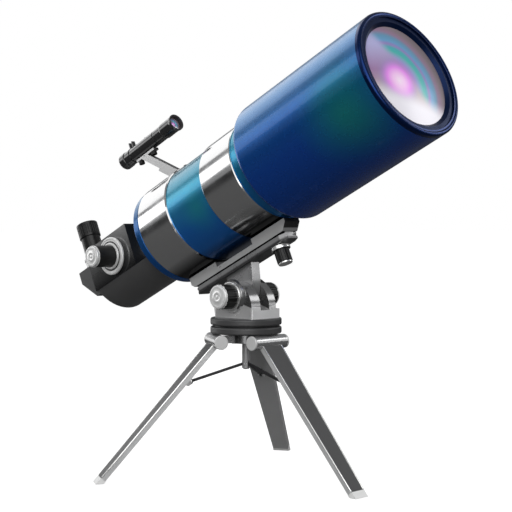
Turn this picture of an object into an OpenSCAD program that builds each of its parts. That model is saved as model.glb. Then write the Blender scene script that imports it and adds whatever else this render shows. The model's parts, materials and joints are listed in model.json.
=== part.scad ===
// Tabletop maksutov telescope: optical tube on a dovetail saddle, an altitude
// and azimuth head, and a folding three-leg tabletop stand.
// Units are millimetres. +Z is up and the telescope looks towards +X.
// The origin is on the ground at the middle of the whole object's length.

/* [Stand] */
// Height of the leg hinge axes above the ground
hinge_z = 183.6; // [183:0.1:186]
// Distance of each leg hinge axis from the azimuth axis
hinge_r = 41.7; // [41:0.1:43]
// Slope of the open legs below the horizontal, in degrees
leg_slope = 49; // [47:0.5:51]
// Width of a leg at its hinge
leg_w_top = 35; // [30:1:38]
// Width of a leg at its foot
leg_w_foot = 23.5; // [18:0.5:28]
// Thickness of a leg
leg_t = 7.5; // [6:0.5:8]
// Length of each hinge barrel
barrel_len = 63.6; // [56:0.2:68]
// Diameter of each hinge barrel
barrel_d = 18.8; // [18:0.2:19.2]
// Radius of the sliding centre post
post_r = 5.5; // [5.4:0.1:6]

/* [Head] */
// Distance of the azimuth axis from the middle of the object's length
axis_x = 25.2; // [20:0.1:30]
// Radius of the two azimuth plates
plate_r = 48.2; // [46:0.2:50]
// Height of the altitude axis above the ground
alt_z = 244; // [243.5:0.5:246]
// Length of the head block along the tube
block_l = 73; // [68:1:76]
// Width of the head block
block_w = 54; // [50:1:58]
// Radius of the two altitude knobs
alt_knob_r = 16.6; // [14:0.2:16.6]

/* [Tube] */
// Tilt of the tube above the horizontal, in degrees
tilt = 25; // [15:1:35]
// Height of the tube axis above the altitude axis, square to the tube
tube_rise = 133.7; // [133:0.1:136]
// Outer radius of the main tube
tube_r = 71; // [70:0.5:71.5]
// Outer radius of the two clamp rings
ring_r = 73; // [72.5:0.1:74]
// Outer radius of the objective barrel
barrel_r = 84.6; // [82:0.1:88]
// Length of the objective barrel with its front rim
barrel_l = 236.5; // [200:0.5:240]
// Radius of the clear opening of the corrector
lens_r = 66.5; // [60:0.5:67]

/* [Eyepiece end] */
// Distance of the eyepiece axis behind the altitude axis
eyepiece_back = 278; // [276:0.5:282]
// Height of the eyepiece's top above the tube axis
eyepiece_top = 101; // [98:0.5:108]
// Radius of the focus knob
focus_knob_r = 15.5; // [12:0.5:17]
// Radius of the eyepiece's rubber cup
eyecup_r = 16.4; // [16:0.1:18]

/* [Finder] */
// Height of the finder axis above the tube axis
finder_rise = 144.8; // [142:0.2:147]
// Radius of the finder's front bell
finder_bell_r = 12.4; // [12:0.1:14]
// Distance of the finder's front end behind the altitude axis
finder_front = 26.4; // [22:0.4:30]

/* [Hidden] */
$fn = 96;
gap = 0.3;            // clearance between bodies
fit = 0.06;           // radial running clearance
eps = 0.02;           // clearance between fixed parts of one body

// Stations along the tube, measured from the altitude axis
rim_s = -99.5;
ring_rear_s = -88;
ring_len = 65.5;
ring_front_s = 51.5;
adapter_s = ring_front_s + ring_len;
barrel_s = adapter_s + 18.5;
front_s = barrel_s + barrel_l;
front_rim_l = 7;
baffle_r = 19.4;
barrel_in = barrel_r - 2.6;
tube_in = tube_r - 2;

// Rear housing and focuser box
box_s = -240;
box_l = 101;
box_hw = 50;
box_low = -25;
box_top = 38;
box_wall = 4;
box_floor = 2.4;
drum_r = 54.8;
drum_s = -236;
neck_r = 25;
spigot_r = 21.4;
knob_s = -179;
knob_u = 5;
roller_r = 6;
shaft_r = 4;
draw_r = 21.5;
draw_in = 19.5;
draw_travel = 25;

// Dovetail and saddle, as heights from the tube axis
pad_top = -74;
dove_low = -88.6;
web_top = -81.4;
foot_low = -95.5;
saddle_top = -91;
saddle_low = -99.5;
dove_hw = 14;
saddle_s = -77;
saddle_l = 190;
clamp_s = 86.5;

// Head heights
hub_low = 180;
low_plate_z = 193.5;
plate_t = 9.6;
up_plate_z = 205;
block_z = up_plate_z + plate_t;
block_top = 227;
spindle_r = 12;
spindle_top = 219;
slot_hw = 8.2;
ear_r = 36;
block_shift = 1.5;
ear_z = 228;
tongue_hw = 7.6;
bolt_r = 5;
ear_y = [25, 21];       // outer faces of the left and right ear
shelf = 222.8;          // ceiling of the hollow under the head block

// Leg linkage: the brace pin's place on the leg, and the brace pivot in the post
pin_l = 67;
pin_h = 6.2;
post_pin_r = 3.6;
post_pin_z = 152;
lug_r = 4.6;
brace_t = 3;
brace_pin_r = 1.5;
leg_angles = [0, -120, 120];
leg_end = 236;
hinge_pin_r = 3.5;
arm_hw = 5.5;
arm_r = 7;
pivot_r = 1;

// Small screws: stations along the tube
ring_screws = [-52, 87];
ring_screw_r = 3;
aim_screws = [-119, -88.5];
foot_screws = [-73, -35];
aim_r = 1.5;
finder_pivot_s = -105.5;
finder_pivot_drop = 13.6;
finder_rear_s = -154;
cradle_t = 3.4;
cradle_low = finder_rise - 11.6 - cradle_t;

// ---- placing helpers ----

// Azimuth axis
module head_frame() {
  translate([axis_x, 0, 0]) children();
}

// Altitude axis, X along the tube, Z square to it
module tilt_frame() {
  head_frame() translate([0, 0, alt_z]) rotate([0, -tilt, 0]) children();
}

// Tube axis, X along the tube, Z square to it
module ota_frame() {
  tilt_frame() translate([0, 0, tube_rise]) children();
}

// A turned part on the tube axis, its height along the tube from station s
module on_axis(s) {
  ota_frame() translate([s, 0, 0]) rotate([0, 90, 0]) children();
}

// A turned part on the finder axis
module on_finder(s) {
  ota_frame() translate([s, 0, finder_rise]) rotate([0, 90, 0]) children();
}

// A turned part on the eyepiece axis, its height up from u
module on_eyepiece(u) {
  ota_frame() translate([-eyepiece_back, 0, u]) children();
}

// A turned part on the focus knob axis, its height outwards from distance y
module on_focus(y) {
  ota_frame() translate([knob_s, -y, knob_u]) rotate([90, 0, 0]) children();
}

// A turned part on the altitude axis, its height outwards on side +1 or -1
module on_altitude(side, y) {
  head_frame() translate([0, side * y, alt_z]) rotate([-side * 90, 0, 0]) children();
}

// Hinge axis of the leg at angle a: X down the leg, Y along the hinge, Z outwards
module leg_frame(a) {
  head_frame() rotate([0, 0, a]) translate([hinge_r, 0, hinge_z])
    rotate([0, leg_slope, 0]) children();
}

// ---- shape helpers ----

module ring(ro, ri, h) {
  difference() {
    cylinder(r = ro, h = h);
    translate([0, 0, -1]) cylinder(r = ri, h = h + 2);
  }
}

// Cylinder with rounded rims of radius e at both ends
module rounded_disc(r, h, e) {
  rotate_extrude() {
    translate([0, 0]) square([r - e, h]);
    translate([0, e]) square([r, h - 2 * e]);
    translate([r - e, e]) circle(r = e, $fn = 32);
    translate([r - e, h - e]) circle(r = e, $fn = 32);
  }
}

// Box with rounded upright edges, centred on X and Y
module rounded_box(l, w, h, e) {
  translate([-l / 2 + e, -w / 2, 0]) cube([l - 2 * e, w, h]);
  translate([-l / 2, -w / 2 + e, 0]) cube([l, w - 2 * e, h]);
  for (x = [-1, 1], y = [-1, 1])
    translate([x * (l / 2 - e), y * (w / 2 - e), 0]) cylinder(r = e, h = h);
}

// Fluted grip: count scallops of radius f round a cylinder
module fluted(r, h, count, f) {
  difference() {
    cylinder(r = r, h = h);
    for (i = [0 : count - 1])
      rotate([0, 0, i * 360 / count]) translate([r + f * 0.72, 0, -1])
        cylinder(r = f, h = h + 2, $fn = 24);
  }
}

// Points of an arc that rises by its sagitta from rim to centre
function cap_points(rim, radius, z0, n) =
  [for (i = [0 : n]) let (r = rim * (1 - i / n))
    [r, z0 + sqrt(radius * radius - r * r) - sqrt(radius * radius - rim * rim)]];

function reversed(p) = [for (i = [len(p) - 1 : -1 : 0]) p[i]];

// Meniscus or plano lens: rim radius, front and back radii, edge thickness
module lens(rim, front_radius, back_radius, edge) {
  rotate_extrude()
    polygon(concat(cap_points(rim, front_radius, edge, 10),
                   reversed(cap_points(rim, back_radius, 0, 10))));
}

// ---- stand ----

module tripod_hub() {
  color("silver") difference() {
    union() {
      head_frame() translate([0, 0, hub_low]) cylinder(r = 18, h = low_plate_z - hub_low);
      head_frame() translate([0, 0, low_plate_z])
        cylinder(r = spindle_r, h = spindle_top - low_plate_z);
      for (a = leg_angles) hub_arm(a);
    }
    head_frame() translate([0, 0, hub_low - 1]) cylinder(r = post_r + fit, h = 50);
    head_frame() translate([0, 0, hub_low - 1]) cylinder(r = 9.4, h = 6.6);
    for (a = leg_angles)
      leg_frame(a) translate([0, -20, 0]) rotate([-90, 0, 0])
        cylinder(r = hinge_pin_r + eps, h = 40);
  }
}

// Arm that reaches from the hub into the middle of a hinge barrel
module hub_arm(a) {
  head_frame() rotate([0, 0, a]) {
    translate([12, -arm_hw, hinge_z - 3.2]) cube([hinge_r - 12, 2 * arm_hw, 9.6]);
    translate([hinge_r, -arm_hw, hinge_z]) rotate([-90, 0, 0]) cylinder(r = arm_r, h = 2 * arm_hw);
  }
}

module azimuth_plate_lower() {
  color("#4a4a4c") head_frame() translate([0, 0, low_plate_z]) difference() {
    rounded_disc(plate_r, plate_t, 2.4);
    translate([0, 0, -1]) cylinder(r = spindle_r + eps, h = plate_t + 2);
  }
}

module azimuth_washer() {
  color("#101010") head_frame() translate([0, 0, low_plate_z + plate_t])
    ring(plate_r - 5, spindle_r + 1, up_plate_z - gap - low_plate_z - plate_t);
}

module spindle_nut() {
  color("silver") head_frame() translate([0, 0, block_z + gap]) difference() {
    cylinder(r = 17, h = 3.9, $fn = 6);
    translate([0, 0, -1]) cylinder(r = spindle_r + eps, h = 8);
  }
}

module leg_hinge_pins() {
  color("dimgray") for (a = leg_angles)
    leg_frame(a) translate([0, -barrel_len / 2 + 3.4, 0]) rotate([-90, 0, 0])
      cylinder(r = hinge_pin_r, h = barrel_len - 6.8);
}

module leg(a) {
  slot_hw_leg = arm_hw + 0.6;
  difference() {
    union() {
      leg_frame(a) translate([0, -barrel_len / 2 + 3, 0]) rotate([-90, 0, 0])
        cylinder(d = barrel_d, h = barrel_len - 6);
      leg_frame(a) translate([0, 0, -leg_t / 2]) linear_extrude(height = leg_t)
        polygon([[0, leg_w_top / 2], [leg_end, leg_w_foot / 2],
                 [leg_end, -leg_w_foot / 2], [0, -leg_w_top / 2]]);
      leg_lugs(a);
    }
    leg_frame(a) translate([0, -slot_hw_leg, 0]) rotate([-90, 0, 0])
      cylinder(r = arm_r + 0.4, h = 2 * slot_hw_leg);
    leg_frame(a) translate([0, slot_hw_leg, 0]) rotate([90, 0, 0])
      linear_extrude(height = 2 * slot_hw_leg)
        polygon([[-5.2, 4.5], [-18.3, -10.6], [0.8, -16.4], [3.6, -0.6]]);
    leg_frame(a) translate([0, -barrel_len, 0]) rotate([-90, 0, 0])
      cylinder(r = hinge_pin_r + fit, h = 2 * barrel_len);
    leg_frame(a) translate([pin_l - 9, -brace_t / 2 - 0.5, -leg_t])
      cube([17.5, brace_t + 1, leg_t + pocket_roof]);
  }
}

// Two ears and a pin that carry the brace's outer end; the pocket for the brace's eye runs up
// to pocket_roof above the leg's middle plane
pocket_roof = 0.85;

module leg_lugs(a) {
  for (y = [-brace_t / 2 - 0.5 - 2.6, brace_t / 2 + 0.5])
    leg_frame(a) translate([pin_l, y, -pin_h]) {
      rotate([-90, 0, 0]) cylinder(r = lug_r, h = 2.6);
      translate([-lug_r, 0, 0]) cube([2 * lug_r, 2.6, pin_h - 1]);
    }
  leg_frame(a) translate([pin_l, -brace_t / 2 - 3.1, -pin_h]) rotate([-90, 0, 0])
    cylinder(r = brace_pin_r, h = brace_t + 6.2);
}

module leg_front() { color("#5a5b5e") leg(leg_angles[0]); }
module leg_left() { color("#5a5b5e") leg(leg_angles[1]); }
module leg_right() { color("#5a5b5e") leg(leg_angles[2]); }

module hinge_caps(a) {
  color("#c9c9c9") for (side = [-1, 1])
    leg_frame(a) translate([0, side * (barrel_len / 2 - 3), 0]) rotate([-side * 90, 0, 0])
      rounded_disc(barrel_d / 2, 3, 0.8);
}

module hinge_caps_front() { hinge_caps(leg_angles[0]); }
module hinge_caps_left() { hinge_caps(leg_angles[1]); }
module hinge_caps_right() { hinge_caps(leg_angles[2]); }

module foot(a) {
  lip = 0.3;
  color("#d8d8d6") difference() {
    leg_frame(a) translate([leg_end, -leg_w_foot / 2 - lip, -leg_t / 2 - lip])
      cube([20, leg_w_foot + 2 * lip, leg_t + 2 * lip]);
    translate([-400, -400, -60]) cube([800, 800, 60]);
  }
}

module foot_front() { foot(leg_angles[0]); }
module foot_left() { foot(leg_angles[1]); }
module foot_right() { foot(leg_angles[2]); }

module centre_post() {
  post_low = 144.5;
  color("#6a6b6d") head_frame() difference() {
    union() {
      translate([0, 0, post_low + 2]) cylinder(r = post_r, h = 41);
      translate([0, 0, post_low]) cylinder(r1 = post_r - 2, r2 = post_r, h = 2);
    }
    for (a = leg_angles) rotate([0, 0, a]) {
      translate([1.2, -brace_t / 2 - 0.25, post_low - 1]) cube([8, brace_t + 0.5, 12.5]);
      translate([post_pin_r, -8, post_pin_z]) rotate([-90, 0, 0])
        cylinder(r = pivot_r + eps, h = 16);
    }
  }
}

module brace_pivot_pins() {
  color("dimgray") head_frame() for (a = leg_angles) rotate([0, 0, a])
    translate([post_pin_r, -3.9, post_pin_z]) rotate([-90, 0, 0])
      cylinder(r = pivot_r, h = 7.8);
}

// Where the brace pin of an open leg sits, as radius and height
function leg_pin() = [
  hinge_r + pin_l * cos(leg_slope) - pin_h * sin(leg_slope),
  hinge_z - pin_l * sin(leg_slope) - pin_h * cos(leg_slope)];
brace_dr = leg_pin()[0] - post_pin_r;
brace_dz = post_pin_z - leg_pin()[1];
brace_len = sqrt(brace_dr * brace_dr + brace_dz * brace_dz);
brace_slope = atan2(brace_dz, brace_dr);

module brace(a) {
  slot_in = 3.6;
  slot_out = 0.6;
  slot_w = 2 * brace_pin_r + 2.6;
  color("#3a3a3c") head_frame() rotate([0, 0, a]) translate([post_pin_r, 0, post_pin_z])
    rotate([0, brace_slope, 0]) difference() {
      union() {
        rotate([90, 0, 0]) cylinder(r = 1.9, h = brace_t, center = true);
        translate([0, -brace_t / 2, -1.75]) cube([brace_len - 5, brace_t, 3.5]);
        for (x = [brace_len - slot_in, brace_len + slot_out]) translate([x, 0, 0])
          rotate([90, 0, 0]) cylinder(r = slot_w / 2 + 1.3, h = brace_t, center = true);
        translate([brace_len - slot_in, -brace_t / 2, -slot_w / 2 - 1.3])
          cube([slot_in + slot_out, brace_t, slot_w + 2.6]);
      }
      rotate([90, 0, 0]) cylinder(r = pivot_r + fit, h = 9, center = true);
      for (x = [brace_len - slot_in, brace_len + slot_out]) translate([x, 0, 0])
        rotate([90, 0, 0]) cylinder(r = slot_w / 2, h = 9, center = true);
      translate([brace_len - slot_in, -5, -slot_w / 2]) cube([slot_in + slot_out, 10, slot_w]);
    }
}

module brace_front() { brace(leg_angles[0]); }
module brace_left() { brace(leg_angles[1]); }
module brace_right() { brace(leg_angles[2]); }

// ---- head ----

module azimuth_plate_upper() {
  color("#4a4a4c") head_frame() translate([0, 0, up_plate_z]) difference() {
    rounded_disc(plate_r, plate_t, 2.4);
    translate([0, 0, -1]) cylinder(r = spindle_r + fit, h = plate_t + 2);
  }
}

// Outer face of the ear on side -1 or +1, as a distance from the tube's plane
function ear_face(side) = side < 0 ? ear_y[0] : ear_y[1];

// Z outwards along the altitude axis on side -1 or +1, inside head_frame
module on_side(side, y) {
  translate([0, side * y, alt_z]) rotate([-side * 90, 0, 0]) children();
}

module head_block() {
  color("#b8b9bb") head_frame() difference() {
    union() {
      translate([0.5, block_shift, block_z]) rounded_box(block_l, block_w, block_top - block_z, 3);
      for (side = [-1, 1]) {
        intersection() {
          translate([0, 0, ear_z]) rotate([-side * 90, 0, 0]) cylinder(r = ear_r, h = ear_face(side));
          translate([-50, -50, block_z]) cube([100, 100, 60]);
        }
        on_side(side, ear_face(side)) cylinder(r1 = 23, r2 = 21.5, h = 3);
      }
    }
    translate([-60, -slot_hw, block_top - 1]) cube([120, 2 * slot_hw, 60]);
    translate([0, 0, block_z - 1]) cylinder(r = 20, h = shelf - block_z + 1);
    for (side = [-1, 1]) on_side(side, ear_face(side) + 3) cylinder(r = 20.2, h = 20);
    translate([0, 50, alt_z]) rotate([90, 0, 0]) cylinder(r = bolt_r + eps, h = 100);
  }
}

module altitude_bolt() {
  color("silver") head_frame() translate([0, ear_y[1] + 21, alt_z]) rotate([90, 0, 0])
    cylinder(r = bolt_r, h = ear_y[0] + ear_y[1] + 45);
}

module altitude_washers() {
  color("#e0e0e0") for (side = [-1, 1]) on_altitude(side, ear_face(side) + 3) difference() {
    rounded_disc(19.4, 3.4, 0.9);
    translate([0, 0, -1]) cylinder(r = bolt_r + eps, h = 6);
  }
}

module altitude_knob(side) {
  on_altitude(side, ear_face(side) + 6.4 + gap) {
    color("#151515") difference() {
      fluted(alt_knob_r, 18, 16, 2.2);
      translate([0, 0, -1]) cylinder(r = bolt_r + fit, h = 20);
    }
    color("#d4d4d2") translate([0, 0, 18]) rounded_disc(alt_knob_r - 0.8, 3.6, 1.2);
  }
}

module altitude_knob_left() { altitude_knob(-1); }
module altitude_knob_right() { altitude_knob(1); }

// ---- saddle ----

// Outline of the saddle from above, with chamfered corners
module saddle_outline() {
  c = 5;
  polygon([[0, -dove_hw + c], [9, -dove_hw], [saddle_l - 11, -dove_hw], [saddle_l, -dove_hw + c],
           [saddle_l, dove_hw - c], [saddle_l - 11, dove_hw], [9, dove_hw], [0, dove_hw - c]]);
}

module saddle() {
  color("#8a8b8d") ota_frame() difference() {
    translate([saddle_s, 0, saddle_low]) linear_extrude(height = saddle_top - saddle_low)
      saddle_outline();
    translate([saddle_s - 1, 0, 0]) rotate([90, 0, 90]) linear_extrude(height = saddle_l + 2)
      polygon([[-8.4, saddle_top + 1], [-8.4, saddle_top - 0.4], [-10.9, foot_low - 0.4],
               [10.9, foot_low - 0.4], [8.4, saddle_top - 0.4], [8.4, saddle_top + 1]]);
    translate([clamp_s, 0, saddle_low - 1]) cylinder(r = 3 + fit, h = 20);
  }
}

module saddle_tongue() {
  top = tube_rise + saddle_low;
  color("#c4c5c7") tilt_frame() difference() {
    union() {
      rotate([90, 0, 0]) cylinder(r = 17, h = 2 * tongue_hw, center = true);
      translate([0, tongue_hw, 0]) rotate([90, 0, 0]) linear_extrude(height = 2 * tongue_hw)
        polygon([[-18, top], [35, top], [32, 25], [27.8, 12], [22.4, 1], [12.4, -11.6],
                 [-12, 0], [-16.5, 5]]);
    }
    rotate([90, 0, 0]) cylinder(r = bolt_r + fit, h = 40, center = true);
  }
}

module saddle_knob() {
  ota_frame() translate([clamp_s, 0, 0]) {
    color("#dcdcdc") translate([0, 0, saddle_low - gap - 5.4]) rounded_disc(13, 5.4, 0.8);
    color("#dcdcdc") translate([0, 0, saddle_low - gap - 0.01]) cylinder(r = 3, h = foot_low - saddle_low);
    color("#151515") translate([0, 0, saddle_low - gap - 22.4]) fluted(10.4, 17, 12, 1.8);
    color("#dcdcdc") translate([0, 0, saddle_low - gap - 25]) rounded_disc(9.6, 2.6, 0.8);
  }
}

// ---- dovetail and clamp rings ----

module dovetail_plate() {
  plate_s = -81;
  plate_e = 120.5;
  color("#c8c8c8") ota_frame() difference() {
    union() {
      translate([0, dove_hw, 0]) rotate([90, 0, 0]) linear_extrude(height = 2 * dove_hw)
        polygon([[plate_s, pad_top], [plate_s + 58.5, pad_top], [plate_s + 58.5, web_top],
                 [plate_e - 67, web_top], [plate_e - 67, pad_top], [plate_e, pad_top],
                 [plate_e, -79], [plate_e - 9, dove_low], [plate_s + 5, dove_low],
                 [plate_s, -84]]);
      translate([plate_s + 6, 0, 0]) rotate([90, 0, 90]) linear_extrude(height = plate_e - plate_s - 17)
        polygon([[-8, dove_low], [-8, saddle_top - 0.6], [-10.4, foot_low], [10.4, foot_low],
                 [8, saddle_top - 0.6], [8, dove_low]]);
    }
    for (s = ring_screws) {
      translate([s, 0, foot_low - 1]) cylinder(r = ring_screw_r + eps, h = 40);
      translate([s, 0, foot_low - 1]) cylinder(r = 5.5, h = 5);
    }
  }
}

module dovetail_screws() {
  color("#2a2a2a") ota_frame() for (s = ring_screws) translate([s, 0, foot_low + 4]) {
    difference() {
      translate([0, 0, -3.6]) cylinder(r = 5, h = 3.6);
      translate([0, 0, -4]) cylinder(r = 2.6, h = 2.4, $fn = 6);
    }
    cylinder(r = ring_screw_r, h = pad_top - foot_low - 4 - 0.2);
  }
}

// Clamp ring with a bevelled bead at each edge and a foot under it
module tube_ring(s) {
  on_axis(s) difference() {
    union() {
      translate([0, 0, 2]) cylinder(r = ring_r, h = ring_len - 4);
      cylinder(r1 = ring_r - 1.2, r2 = ring_r, h = 2);
      translate([0, 0, ring_len - 2]) cylinder(r1 = ring_r, r2 = ring_r - 1.2, h = 2);
      translate([-pad_top - 12, -12, 4]) cube([12, 24, ring_len - 8]);
    }
    translate([0, 0, -1]) cylinder(r = tube_r + eps, h = ring_len + 2);
  }
}

module tube_ring_front() { color("#d9d9d9") tube_ring(ring_front_s); }
module tube_ring_rear() { color("#d9d9d9") tube_ring(ring_rear_s); }

// ---- optical tube ----

module main_tube() {
  color("#2f6f9a") on_axis(ring_rear_s) ring(tube_r, tube_in, barrel_s + 16 - ring_rear_s);
}

module barrel_adapter() {
  color("#1f6f78") on_axis(adapter_s + eps) difference() {
    union() {
      cylinder(r = 72.4, h = 18.4);
      translate([0, 0, 22]) cylinder(r = barrel_in - eps, h = 9);
      cylinder(r = 76, h = 1);
      translate([0, 0, 18]) cylinder(r = 76, h = 5);
    }
    translate([0, 0, -1]) cylinder(r = tube_r + eps, h = 40);
    translate([0, 0, -1]) ring(80, 73, 3);
  }
}

module objective_barrel() {
  shoulder = 7;
  color("#12357f") on_axis(barrel_s) rotate_extrude() difference() {
    union() {
      translate([60, 0]) square([barrel_r - shoulder - 60, 20]);
      translate([60, shoulder]) square([barrel_r - 60, barrel_l - front_rim_l - shoulder]);
      translate([barrel_r - shoulder, shoulder]) circle(r = shoulder, $fn = 64);
    }
    translate([0, 3.4]) square([barrel_in, barrel_l]);
    translate([0, -1]) square([76.2, 8]);
  }
}

module front_rim() {
  bead = front_rim_l / 2;
  color("#0b1f4d") on_axis(front_s - front_rim_l + eps) rotate_extrude() {
    translate([77, 0]) square([barrel_r - 77, bead]);
    translate([barrel_r - bead, bead]) circle(r = bead, $fn = 48);
    translate([77, 0]) square([barrel_r - bead - 77, front_rim_l - 0.8]);
  }
}

lens_edge_s = front_s - 7.5;
lens_edge_t = 12;

module corrector_cell() {
  color("#0d0d10") on_axis(lens_edge_s - 22) difference() {
    union() {
      cylinder(r = barrel_in - eps, h = 22);
      translate([0, 0, 21]) cylinder(r = 77 - eps, h = 5.5);
    }
    translate([0, 0, -1]) cylinder(r = lens_r - 3, h = 40);
    translate([0, 0, 22 - lens_edge_t]) cylinder(r = lens_r + 2 + eps, h = lens_edge_t);
    translate([0, 0, 21.9]) cylinder(r1 = lens_r, r2 = lens_r + 6, h = 6);
  }
}

module corrector_lens() {
  color("#cfd6e6") on_axis(lens_edge_s - lens_edge_t + eps) lens(lens_r + 2, 400, 360, lens_edge_t - 2 * eps);
}

module secondary_mirror() {
  back_rise = sqrt(360 * 360 - 19 * 19) - sqrt(360 * 360 - (lens_r + 2) * (lens_r + 2));
  color("#e8e8ec") on_axis(lens_edge_s - lens_edge_t + back_rise - 1.6) cylinder(r = 19, h = 1.4);
}

module primary_mirror() {
  color("#e8e8ec") on_axis(-86) rotate_extrude() difference() {
    translate([22, 0]) square([44, 15]);
    translate([0, 15 - 3.4 + 640]) circle(r = 640, $fn = 720);
  }
}

module mirror_cell() {
  floor_t = 9.4;
  color("#202022") on_axis(rim_s + 4) difference() {
    cylinder(r = tube_in - eps, h = floor_t + 12);
    translate([0, 0, -1]) cylinder(r = baffle_r + eps, h = 20);
    translate([0, 0, floor_t]) cylinder(r = 66.6, h = 20);
  }
}

module baffle_tube() {
  color("#17171a") on_axis(rim_s + 2) ring(baffle_r, baffle_r - 1.5, 150);
}

module rear_rim() {
  color("#1d4c86") on_axis(rim_s) difference() {
    rounded_disc(72, ring_rear_s - rim_s - eps, 1.6);
    translate([0, 0, 4]) cylinder(r = tube_in, h = 12);
    translate([0, 0, -1]) cylinder(r = 20, h = 8);
  }
}

// ---- eyepiece end ----

// Round-bottomed trough with a flat deck behind the tube
module rear_housing() {
  wall = 2.6;
  len = rim_s - drum_s - eps;
  deck = -box_low + eps;
  module trough(r, l, d) {
    intersection() {
      cylinder(r = r, h = l);
      translate([d, -r, -1]) cube([r, 2 * r, l + 2]);
    }
  }
  color("#37373a") on_axis(drum_s) difference() {
    trough(drum_r, len, deck);
    translate([0, 0, wall]) trough(drum_r - wall, len - 2 * wall, deck + wall);
  }
}

module focuser_neck() {
  color("#d0d0d0") on_axis(box_s + box_l - box_wall) difference() {
    union() {
      cylinder(r = spigot_r, h = 2 * box_wall);
      translate([0, 0, box_wall + eps]) cylinder(r = neck_r, h = rim_s - box_s - box_l - 2 * eps);
      translate([0, 0, box_wall + eps]) cylinder(r = neck_r + 5, h = 4);
    }
    translate([0, 0, -1]) cylinder(r = 19, h = 80);
    translate([-box_low, -40, -1]) cube([20, 80, 20]);
  }
}

module focuser_box() {
  color("#5c5d60") ota_frame() difference() {
    translate([box_s, -box_hw, box_low]) cube([box_l, 2 * box_hw, box_top - box_low]);
    translate([box_s + box_wall, -box_hw + box_wall, box_low + box_floor])
      cube([box_l - 2 * box_wall, 2 * box_hw - 2 * box_wall, box_top - box_low - box_wall - box_floor]);
    translate([box_s - 1, 0, 0]) rotate([0, 90, 0]) cylinder(r = draw_r + fit, h = 20);
    translate([box_s + 60, 0, 0]) rotate([0, 90, 0]) cylinder(r = spigot_r + eps, h = 50);
    translate([knob_s, 0, knob_u]) rotate([90, 0, 0]) cylinder(r = shaft_r + fit, h = 60);
  }
}

module focus_flange() {
  color("#dedede") on_focus(box_hw + eps) difference() {
    union() {
      cylinder(r = 21, h = 5);
      translate([0, 0, 3.6]) rounded_disc(27.2, 3.4, 0.9);
      translate([0, 0, 4]) rounded_disc(19.4, 4, 0.9);
    }
    translate([0, 0, -1]) cylinder(r = shaft_r + fit, h = 20);
  }
}

module focus_knob() {
  color("#1c1c1e") on_focus(box_hw + 8 + gap) cylinder(r = focus_knob_r, h = 29.5);
  color("#dcdcda") on_focus(box_hw + 8 + gap + 29.5) rounded_disc(focus_knob_r - 0.9, 4, 1.1);
  color("silver") on_focus(27) cylinder(r = shaft_r, h = box_hw + 8 + gap + 1 - 27);
  color("#b0a070") on_focus(27.5) cylinder(r = roller_r, h = 8);
}

// Drawtube with the flat side bar that the focus roller runs on
module drawtube() {
  bar_top = knob_u - roller_r - 0.1;
  bar_s = box_s + box_wall + draw_travel + 1;
  bar_e = knob_s + draw_travel + 2;
  color("#cfcfcf") ota_frame() difference() {
    union() {
      translate([box_s - 2, 0, 0]) rotate([0, 90, 0]) cylinder(r = draw_r, h = 56);
      translate([bar_s, -35, bar_top - 5]) cube([bar_e - bar_s, 16, 5]);
    }
    translate([box_s - 3, 0, 0]) rotate([0, 90, 0]) cylinder(r = draw_in, h = 60);
  }
}

diag_low = -22;
diag_top = 26;
diag_front = -243;
diag_back = -293.5;
diag_hw = 28;
lock_rise = 9;
lock_r = 2;

module diagonal_housing() {
  color("#3a3a3d") ota_frame() difference() {
    union() {
      translate([0, diag_hw, 0]) rotate([90, 0, 0]) linear_extrude(height = 2 * diag_hw)
        polygon([[diag_front, diag_low], [diag_front, diag_top], [diag_back, diag_top],
                 [diag_back, 8], [-267, diag_low]]);
      translate([diag_front - 1, 0, 0]) rotate([0, 90, 0]) cylinder(r = draw_in - fit, h = 23);
    }
    diagonal_bore();
    diagonal_pocket(0.1);
  }
}

// Middle of the diagonal mirror's face, Z down the slope of the face
module mirror_frame() {
  translate([-eyepiece_back + 1, 0, 1]) rotate([0, -45, 0]) children();
}

// Light path: in along the tube, out upwards, all in front of the mirror
module diagonal_bore() {
  bore_r = 14;
  intersection() {
    translate([-eyepiece_back, 0, 0]) union() {
      rotate([0, 90, 0]) cylinder(r = bore_r, h = 80);
      cylinder(r = bore_r, h = 40);
      sphere(r = bore_r);
    }
    mirror_frame() translate([0, -40, -80]) cube([120, 80, 160]);
  }
}

module diagonal_pocket(grow) {
  mirror_frame() translate([-5 - grow, -16 - grow, -15 - grow])
    cube([5 + 2 * grow, 32 + 2 * grow, 30 + 2 * grow]);
}

module diagonal_mirror() {
  color("#e6e6ea") ota_frame() diagonal_pocket(0);
}

module eyepiece_holder() {
  color("#d6d6d6") on_eyepiece(diag_top + eps) difference() {
    union() {
      cylinder(r = 17.3, h = 20);
      translate([0, 0, 15.6]) rounded_disc(18.2, 4.8, 0.8);
      rounded_disc(18.2, 2.4, 0.8);
    }
    translate([0, 0, -1]) cylinder(r = 15.94, h = 30);
    translate([0, 0, lock_rise]) rotate([-90, 0, 0]) cylinder(r = lock_r + fit, h = 40);
  }
}

module eyepiece_lock_screw() {
  color("#202022") on_eyepiece(diag_top + lock_rise) rotate([-90, 0, 0]) {
    translate([0, 0, 16.4]) cylinder(r = lock_r, h = 5);
    translate([0, 0, 20]) fluted(5, 7, 12, 0.9);
  }
}

module eyepiece_barrel() {
  color("#dadada") on_eyepiece(diag_top + 1) ring(15.875, 14.4, 21);
}

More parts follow.
